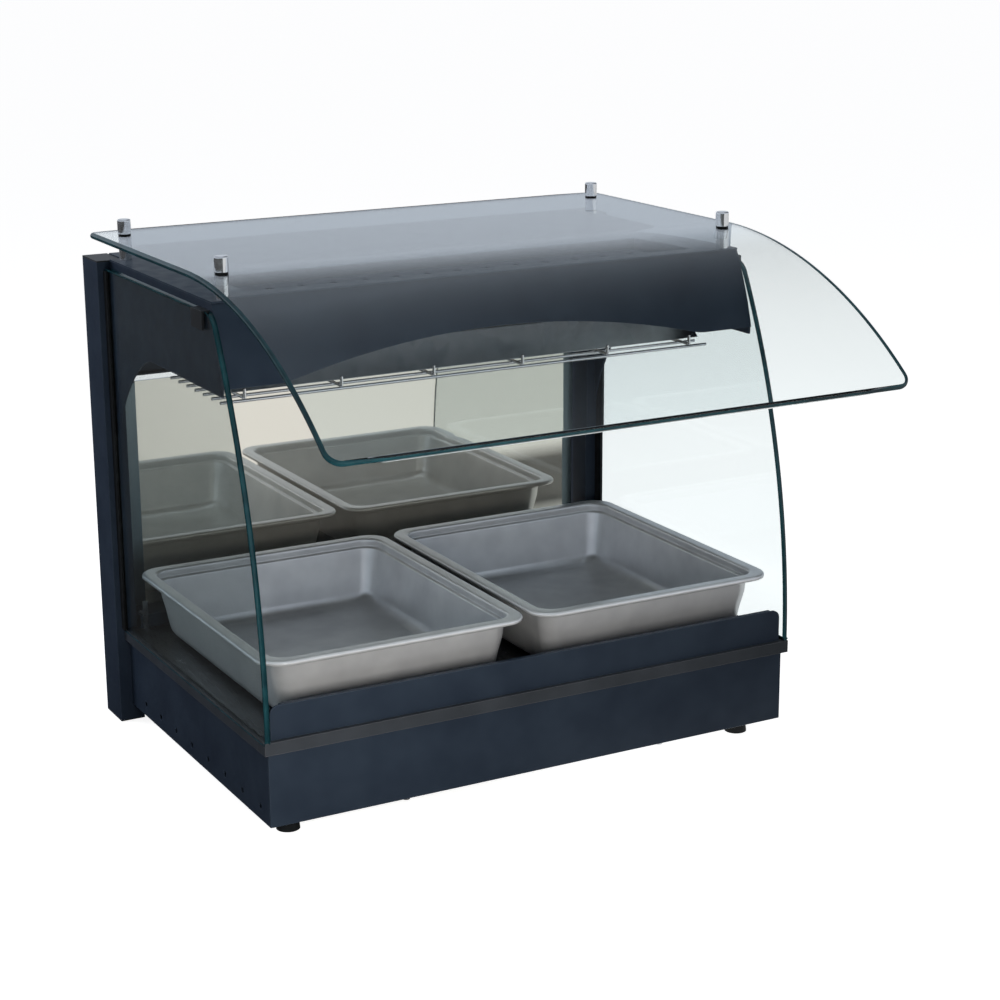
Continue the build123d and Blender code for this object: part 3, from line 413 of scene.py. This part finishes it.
def arc_points(centre, radius, start, end, count):
    """Points on an arc in a profile, from start to end in degrees."""
    a = np.radians(np.linspace(start, end, count))
    return np.stack([centre[0] + radius * np.cos(a), centre[1] + radius * np.sin(a)], -1)


def pan_profile():
    """Inset from the rim's outside and height above the pan's underside, from under the rolled
    lip, over the rim and the shoulder, down the wall and round the bottom corner."""
    top = pan_height - pan_steel / 2

    def place(inset, depth, start=0.0):
        return start + inset, top - depth

    def turn(section, start, end, count):
        centre, radius = section
        return arc_points(place(*centre), radius, start, end, count)

    slope = math.atan2(pan_wall_low_inset - pan_wall_top_inset, pan_height - pan_wall_drop)
    bottom_centre = (pan_wall_low_inset + pan_bottom_radius * math.cos(slope) - pan_bottom_ease,
                     pan_steel / 2 + pan_bottom_radius)
    rolled_lip = ((pan_lip_radius + pan_steel / 2, pan_lip_radius), pan_lip_radius)
    wall_middle_inset = (pan_wall_top_inset + pan_wall_low_inset) / 2
    return np.concatenate([
        [place(*spot, pan_steel / 2) for spot in pan_lip_foot],
        turn(rolled_lip, 180, 90, 7),
        [place(*spot) for spot in pan_rim_flat],
        turn(pan_rim_turn, 90, 0, 6),
        [place(*pan_shoulder_top)],
        turn(pan_shoulder_in, 180, 255, 4), turn(pan_shoulder_down, 75, 0, 4),
        [place(*pan_wall_high, pan_wall_top_inset), place(*pan_wall_middle, wall_middle_inset)],
        arc_points(bottom_centre, pan_bottom_radius, 180 + math.degrees(slope), 270, 10)])


def pan_mesh(name, centre):
    """The pan's mid-surface: its profile carried round rounded rectangles that shrink with the
    inset, closed by a floor that falls to the middle and whose rings end in a fan of triangles."""
    rings = []
    for inset, height in pan_profile():
        corner = (max(pan_rim_corner - pan_corner_narrowing * inset, pan_least_corner)
                  + max(0.0, inset - pan_floor_inset) * pan_corner_widening)
        rings.append((pan_half_width - inset, pan_half_length - inset, corner, height))
    floor_half_width, floor_half_length = rings[-1][:2]
    rings += [(floor_half_width * share, floor_half_length * share, pan_floor_corner * share,
               pan_steel / 2 + pan_floor_fall * share) for share in pan_floor_rings]
    rows = []
    for half_x, half_y, corner, height in rings:
        loop = rounded_loop(half_x, half_y, corner)
        rows.append(np.column_stack([loop, np.full(len(loop), height)]))
    count, first = len(rows[0]), (len(rows) - 1) * len(rows[0])
    points = np.concatenate(rows + [np.array([[0, 0, pan_steel / 2]])])
    faces = grid_faces(len(rows), count, closed=True).tolist()
    faces += [(first + i, first + (i + 1) % count, len(points) - 1) for i in range(count)]
    return put_mesh(name, points + np.array([*centre, pan_underside_z]), faces, [pan_metal])


def solid_wall(piece, thickness):
    """Give a sheet its thickness, half to each side of the drawn surface."""
    wall = piece.modifiers.new("sheet_thickness", "SOLIDIFY")
    wall.thickness, wall.offset, wall.use_even_offset = thickness, 0.0, True
    return piece


pan_metal, tree, shader, place = principled("drawn_stainless_satin", "#dadcdf", 0.31, 0.55)
drawn = noise(tree, place, 0.0014, (1, 1, 14), 2)
cloud = noise(tree, place, 0.03)
drive(tree, shader, Base_Color=mix_colours(tree, cloud, "#d5d7da", "#e4e6e8"),
      Roughness=span(tree, drawn, 0.31, 0.36))
bump(tree, shader, drawn, 0.000003, 0.3)
for name, centre in pan_centres.items():
    piece = solid_wall(pan_mesh(name + "_drawn", centre), pan_steel)
    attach(piece, name.replace("pan_", "") + "_pan")
    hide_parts(name)


# Bright stainless parts: the tabs at the ends of the sill and the door's rail and handle, brushed
# along their length to a fine even grain.
brushed, tree, shader, place = principled("brushed_stainless", "#c6c8c9", 0.3, 1.0)
grain = noise(tree, place, 0.0005, (40, 1, 1), 3)
drive(tree, shader, Base_Color=mix_colours(tree, grain, "#babcbe", "#d0d2d3"),
      Roughness=span(tree, grain, 0.22, 0.4))
bump(tree, shader, grain, 0.00002, 0.3, 0.0004)
finish_nodes(brushed, "stainless", "sill_clips", "door_rail", "door_handle")


# Glass: 6 mm toughened float glass over the case and 5 mm at the sides, with ground and polished
# pencil edges. The faces are clear with a trace of green; the edges gather the colour of the whole
# width and show as a teal line.
glass_tint, edge_teal = "#f3f9f9", "#193c44"
edge_steps, corner_steps = 7, 8


def clear_glass(name, tint):
    """Clear glass that bends and mirrors light but lets lamps through to what stands behind."""
    material, tree, out = new_material(name)
    shader = add(tree, "ShaderNodeBsdfPrincipled", Roughness=0.0, IOR=1.5, Transmission_Weight=1.0)
    shader.inputs["Base Color"].default_value = linear(tint)
    through = add(tree, "ShaderNodeBsdfTransparent", Color=linear(tint))
    path = add(tree, "ShaderNodeLightPath").outputs
    lamps = maths(tree, "MAXIMUM", path["Is Shadow Ray"], path["Is Diffuse Ray"])
    mixed = add(tree, "ShaderNodeMixShader", None,
                {0: lamps, 1: shader.outputs[0], 2: through.outputs[0]})
    tree.links.new(mixed.outputs[0], out.inputs["Surface"])
    return material


glass = clear_glass("float_glass_clear", glass_tint)
glass_edge, tree, shader, place = principled("float_glass_edge", edge_teal, 0.16,
                                             Transmission_Weight=0.12, IOR=1.5,
                                             Specular_IOR_Level=0.2)
drive(tree, shader, Base_Color=mix_colours(tree, noise(tree, place, 0.02), "#14323a", "#214c54"))
bump(tree, shader, noise(tree, place, 0.0006, (1, 1, 1), 1), 0.00002, 0.25)


def pane_mesh(name, low_at, high_at, spots, place_at, thick, across):
    """A pane as a closed skin: rows at spots along it, from low_at to high_at across it, mapped by
    place_at(across, along, off) on both faces, with a half-round edge of the pane's thickness."""
    half = thick / 2
    low, high = low_at(spots), high_at(spots)
    t = np.linspace(0, 1, across)
    a = low[:, None] + (high - low)[:, None] * t[None, :]
    b = np.repeat(spots[:, None], across, 1)
    rows, columns = a.shape
    ring = np.concatenate([np.arange(columns), np.arange(1, rows) * columns + columns - 1,
                           (rows - 1) * columns + np.arange(columns - 2, -1, -1),
                           np.arange(rows - 2, 0, -1) * columns])
    flat_a, flat_b = a.ravel(), b.ravel()
    ra, rb = flat_a[ring], flat_b[ring]
    ta = np.roll(ra, -1) - np.roll(ra, 1)
    tb = np.roll(rb, -1) - np.roll(rb, 1)
    size = np.hypot(ta, tb)
    out_a, out_b = tb / size, -ta / size
    inner_a, inner_b = flat_a.copy(), flat_b.copy()
    inner_a[ring], inner_b[ring] = ra - half * out_a, rb - half * out_b
    top = place_at(inner_a, inner_b, np.full(len(inner_a), half))
    under = place_at(inner_a, inner_b, np.full(len(inner_a), -half))
    skirt = []
    for angle in np.linspace(math.pi / 2, -math.pi / 2, edge_steps)[1:-1]:
        reach = half * (math.cos(angle) - 1)
        skirt.append(place_at(ra + reach * out_a, rb + reach * out_b,
                              np.full(len(ra), half * math.sin(angle))))
    points = np.concatenate([top, under] + skirt)
    face = grid_faces(rows, columns)
    faces = [face, face[:, ::-1] + len(top)]
    slots = [np.zeros(len(face)), np.zeros(len(face))]
    n, first = len(ring), 2 * len(top)
    between = [first + k * n + np.arange(n) for k in range(edge_steps - 2)]
    strips = [ring] + between + [ring + len(top)]
    for upper, lower in zip(strips[:-1], strips[1:]):
        quad = np.stack([upper, lower, np.roll(lower, -1), np.roll(upper, -1)], -1)
        faces.append(quad)
        slots.append(np.ones(len(quad)))
    piece = put_mesh(name, points, np.concatenate(faces), [glass, glass_edge],
                     np.concatenate(slots))
    ends = np.zeros(len(piece.data.edges) * 2, dtype=np.int32)
    piece.data.edges.foreach_get("vertices", ends)
    rims = np.isin(ends.reshape(-1, 2), np.concatenate([ring, ring + len(top)])).all(1)
    sharp = piece.data.attributes.new("sharp_edge", "BOOLEAN", "EDGE")
    sharp.data.foreach_set("value", rims)
    return piece


def corner_spots(start, end, start_corner, end_corner, middle):
    """Places along a pane, close together round the corners at both ends."""
    quarter = 1 - np.cos(np.linspace(0, math.pi / 2, corner_steps))
    first = start + start_corner * quarter
    last = end - end_corner * quarter[::-1]
    return np.concatenate([first, np.linspace(first[-1], last[0], middle)[1:-1], last])


# Canopy: one sheet, flat over the hood and bent down in front round one arc, whose outer radius and
# forward reach give its sweep. Its corners are rounded, more in front than behind.
canopy_thick, canopy_half_width, canopy_top = 0.006, 0.287, 0.500
canopy_back_y, canopy_arc_centre_y = 0.269, 0.011
canopy_outer_radius, canopy_reach = 0.460, 0.298
canopy_front_corner, canopy_back_corner = 0.015, 0.0075
canopy_rows, canopy_columns = 70, 15
canopy_radius = canopy_outer_radius - canopy_thick / 2
flat_length = canopy_back_y - canopy_arc_centre_y
canopy_run = flat_length + canopy_radius * math.asin(canopy_reach / canopy_outer_radius)


def canopy_half(s):
    """Half the canopy's width at a distance s from its back edge, less in the rounded corners."""
    back = np.clip(canopy_back_corner - s, 0, None)
    front = np.clip(canopy_front_corner - (canopy_run - s), 0, None)
    loss = canopy_back_corner - np.sqrt(canopy_back_corner ** 2 - back ** 2)
    return canopy_half_width - loss - (canopy_front_corner
                                       - np.sqrt(canopy_front_corner ** 2 - front ** 2))


def canopy_place(a, s, off):
    """Flat from the back edge forward, then down round one arc; off is along the outer normal."""
    angle = np.clip(s - flat_length, 0, None) / canopy_radius
    flat = np.minimum(s, flat_length)
    radius = canopy_radius + off
    y = canopy_back_y - flat - radius * np.sin(angle)
    z = canopy_top - canopy_thick / 2 - canopy_radius + radius * np.cos(angle)
    return np.stack([-a, y, z], -1)


canopy = pane_mesh("canopy_pane", lambda s: -canopy_half(s), canopy_half,
                   corner_spots(0.0, canopy_run, canopy_back_corner, canopy_front_corner,
                                canopy_rows), canopy_place, canopy_thick, canopy_columns)
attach(canopy, "case")
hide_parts("canopy_glass")


# Side panes: sheets from the trim strip to the hood, upright behind and leaning back in front.
side_thick, side_inner_x, side_low_z, side_high_z = 0.005, 0.2753, 0.1002, 0.465
side_front_low_y, side_lean, side_rear_y = -0.118, 0.090, 0.2427
side_top_corner, side_foot_corner = 0.010, 0.001
side_rows, side_columns = 40, 9
side_rise = side_high_z - side_low_z
side_radius = (side_lean ** 2 + side_rise ** 2) / (2 * side_lean)


def side_front(z):
    """The leaning front edge: an arc that starts upright at the foot, rounded off at the top."""
    edge = side_front_low_y + side_radius - np.sqrt(side_radius ** 2 - (z - side_low_z) ** 2)
    cut = np.clip(side_top_corner - (side_high_z - z), 0, side_top_corner)
    return edge + side_top_corner - np.sqrt(side_top_corner ** 2 - cut ** 2)


def side_rear(z):
    """The upright rear edge."""
    return np.full_like(z, side_rear_y)


def side_pane(name, side):
    """One side pane, with side -1 on the left and 1 on the right."""
    def place_at(y, z, off):
        return np.stack([side * (side_inner_x + side_thick / 2 + off), y, z], -1)

    low_edge, high_edge = (side_front, side_rear)[::side]
    heights = corner_spots(side_low_z, side_high_z, side_foot_corner, side_top_corner, side_rows)
    return pane_mesh(name, low_edge, high_edge, heights, place_at, side_thick, side_columns)


for name, side in (("side_glass_left", -1), ("side_glass_right", 1)):
    piece = side_pane(name + "_pane", side)
    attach(piece, "case")
    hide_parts(name)


# Rear door glass: 4 mm float glass silvered on its back, with a faint warm grey in the silver.
mirror, tree, shader, place = principled("silvered_glass", "#efece1", 0.015, 0.82)
drive(tree, shader, Roughness=span(tree, noise(tree, place, 0.05), 0.008, 0.03))
finish_nodes(mirror, "mirror_glass", "door_mirror")


# Door edge profiles: extruded aluminium, satin anodised in a blue-grey, with fine die lines.
anodised, tree, shader, place = principled("anodised_aluminium", "#7e8c90", 0.34, 1.0)
lines = noise(tree, place, 0.0007, (1, 1, 60), 2)
drive(tree, shader, Roughness=span(tree, lines, 0.28, 0.42))
bump(tree, shader, lines, 0.00002, 0.3, 0.0004)
finish_nodes(anodised, "edge_aluminium", "door_edges")


# Heater: a folded trough of polished aluminium with rolling marks, which throws the heat down.
bright, tree, shader, place = principled("polished_aluminium", "#dcdddf", 0.16, 1.0)
rolled = noise(tree, place, 0.0012, (50, 1, 1), 3)
drive(tree, shader, Roughness=span(tree, rolled, 0.1, 0.24))
bump(tree, shader, rolled, 0.000008, 0.35, 0.0004)
finish_nodes(bright, "bright_aluminium", "heater_reflector", "reflector_ends")

quartz, tree, shader, place = principled("frosted_quartz", "#e9dfd4", 0.35,
                                         Transmission_Weight=0.55, IOR=1.46)
finish_nodes(quartz, "quartz", "heating_tubes")

ceramic, tree, shader, place = principled("steatite_ceramic", "#e0dcd1", 0.6)
drive(tree, shader, Base_Color=mix_colours(tree, noise(tree, place, 0.0015), "#d6d1c5", "#e8e4da"))
bump(tree, shader, noise(tree, place, 0.0008), 0.00004, 0.4, 0.0004)
finish_nodes(ceramic, "ceramic", "tube_sockets")


# Bright wire and fittings: nickel-chromed steel for the heater's guard, the canopy's posts and cap
# nuts, the cover screws and the door pins.
chrome, tree, shader, place = principled("bright_chrome", "#d9dbde", 0.14, 0.85)
drive(tree, shader, Roughness=span(tree, noise(tree, place, 0.004), 0.08, 0.2))
bump(tree, shader, noise(tree, place, 0.0015), 0.00002, 0.2, 0.0003)
finish_nodes(chrome, "bright_wire", "heater_guard", "canopy_posts", "canopy_caps", "cover_screws",
             "door_hinge_pins")


# Black rubber: the feet, the channels that grip the side glass and the grommets. Matt, a little
# grey with talc and wear.
rubber, tree, shader, place = principled("black_rubber", "#101112", 0.7, Specular_IOR_Level=0.3)
drive(tree, shader, Base_Color=mix_colours(tree, noise(tree, place, 0.006), "#0d0e0f", "#181a1b"))
bump(tree, shader, noise(tree, place, 0.0007), 0.00005, 0.4, 0.0005)
finish_nodes(rubber, "black_rubber", "feet", "side_glass_channels", "canopy_grommets",
             "sheath_grommets")


# Black moulded plastic: flame-proof nylon with a fine spark-eroded grain from the mould.
plastic, tree, shader, place = principled("moulded_black_nylon", "#1b1c1e", 0.46)
drive(tree, shader, Base_Color=mix_colours(tree, noise(tree, place, 0.02), "#181a1c", "#212326"))
bump(tree, shader, noise(tree, place, 0.0006), 0.00004, 0.4, 0.0004)
finish_nodes(plastic, "black_plastic", "column_plugs", "thermostat_body", "thermostat_knob",
             "overhead_control_body", "overhead_control_knob", "power_switch_housing",
             "power_inlet", "side_glass_clips")


# Controls' bright parts: a red rocker, an amber lens and turned steel shafts.
red, tree, shader, place = principled("glossy_red_plastic", "#a51a17", 0.2)
bump(tree, shader, noise(tree, place, 0.003), 0.00003, 0.2, 0.0004)
finish_nodes(red, "switch_red", "power_switch_rocker")
amber, tree, shader, place = principled("amber_lens", "#d8701e", 0.12, Transmission_Weight=0.35)
facets = add(tree, "ShaderNodeTexVoronoi", None, {"Vector": place}, Scale=1 / 0.0018)
bump(tree, shader, facets.outputs["Distance"], 0.0002, 0.5, 0.0006)
finish_nodes(amber, "lamp_lens", "pilot_lamp")
turned, tree, shader, place = principled("turned_steel", "#b9bbbc", 0.25, 1.0)
bump(tree, shader, noise(tree, place, 0.0006, (1, 1, 1), 1), 0.00003, 0.3)
finish_nodes(turned, "shaft_steel", "thermostat_shaft", "overhead_control_shaft")


# Inside the base and the columns: a silicone heating mat, mineral board, a woven glass sleeve round
# the heater's lead and a nylon terminal block.
silicone, tree, shader, place = principled("silicone_mat", "#8a3b2b", 0.6)
weave = add(tree, "ShaderNodeTexChecker", None, {"Vector": place}, Scale=1 / 0.002)
bump(tree, shader, weave.outputs["Fac"], 0.0001, 0.3)
finish_nodes(silicone, "heater_silicone", "deck_heating_mat")
board, tree, shader, place = principled("mineral_board", "#cdc4a9", 0.9)
fibres = noise(tree, place, 0.002, (8, 1, 1))
drive(tree, shader, Base_Color=mix_colours(tree, fibres, "#bdb397", "#dad2ba"))
finish_nodes(board, "mineral_board", "insulation_board")
sleeve, tree, shader, place = principled("woven_glass_sleeve", "#cbc6b8", 0.8)
braid = add(tree, "ShaderNodeTexWave", {"bands_direction": "DIAGONAL"}, {"Vector": place},
            Scale=1 / 0.0035)
drive(tree, shader, Base_Color=mix_colours(tree, braid.outputs["Fac"], "#b4ae9e", "#dcd8cc"))
bump(tree, shader, braid.outputs["Fac"], 0.0003, 0.6)
finish_nodes(sleeve, "lead_sheath", "heater_lead_sheath")
nylon, tree, shader, place = principled("natural_nylon", "#d9d6cb", 0.5)
bump(tree, shader, noise(tree, place, 0.001), 0.00004, 0.3, 0.0005)
finish_nodes(nylon, "terminal_plastic", "terminal_block")
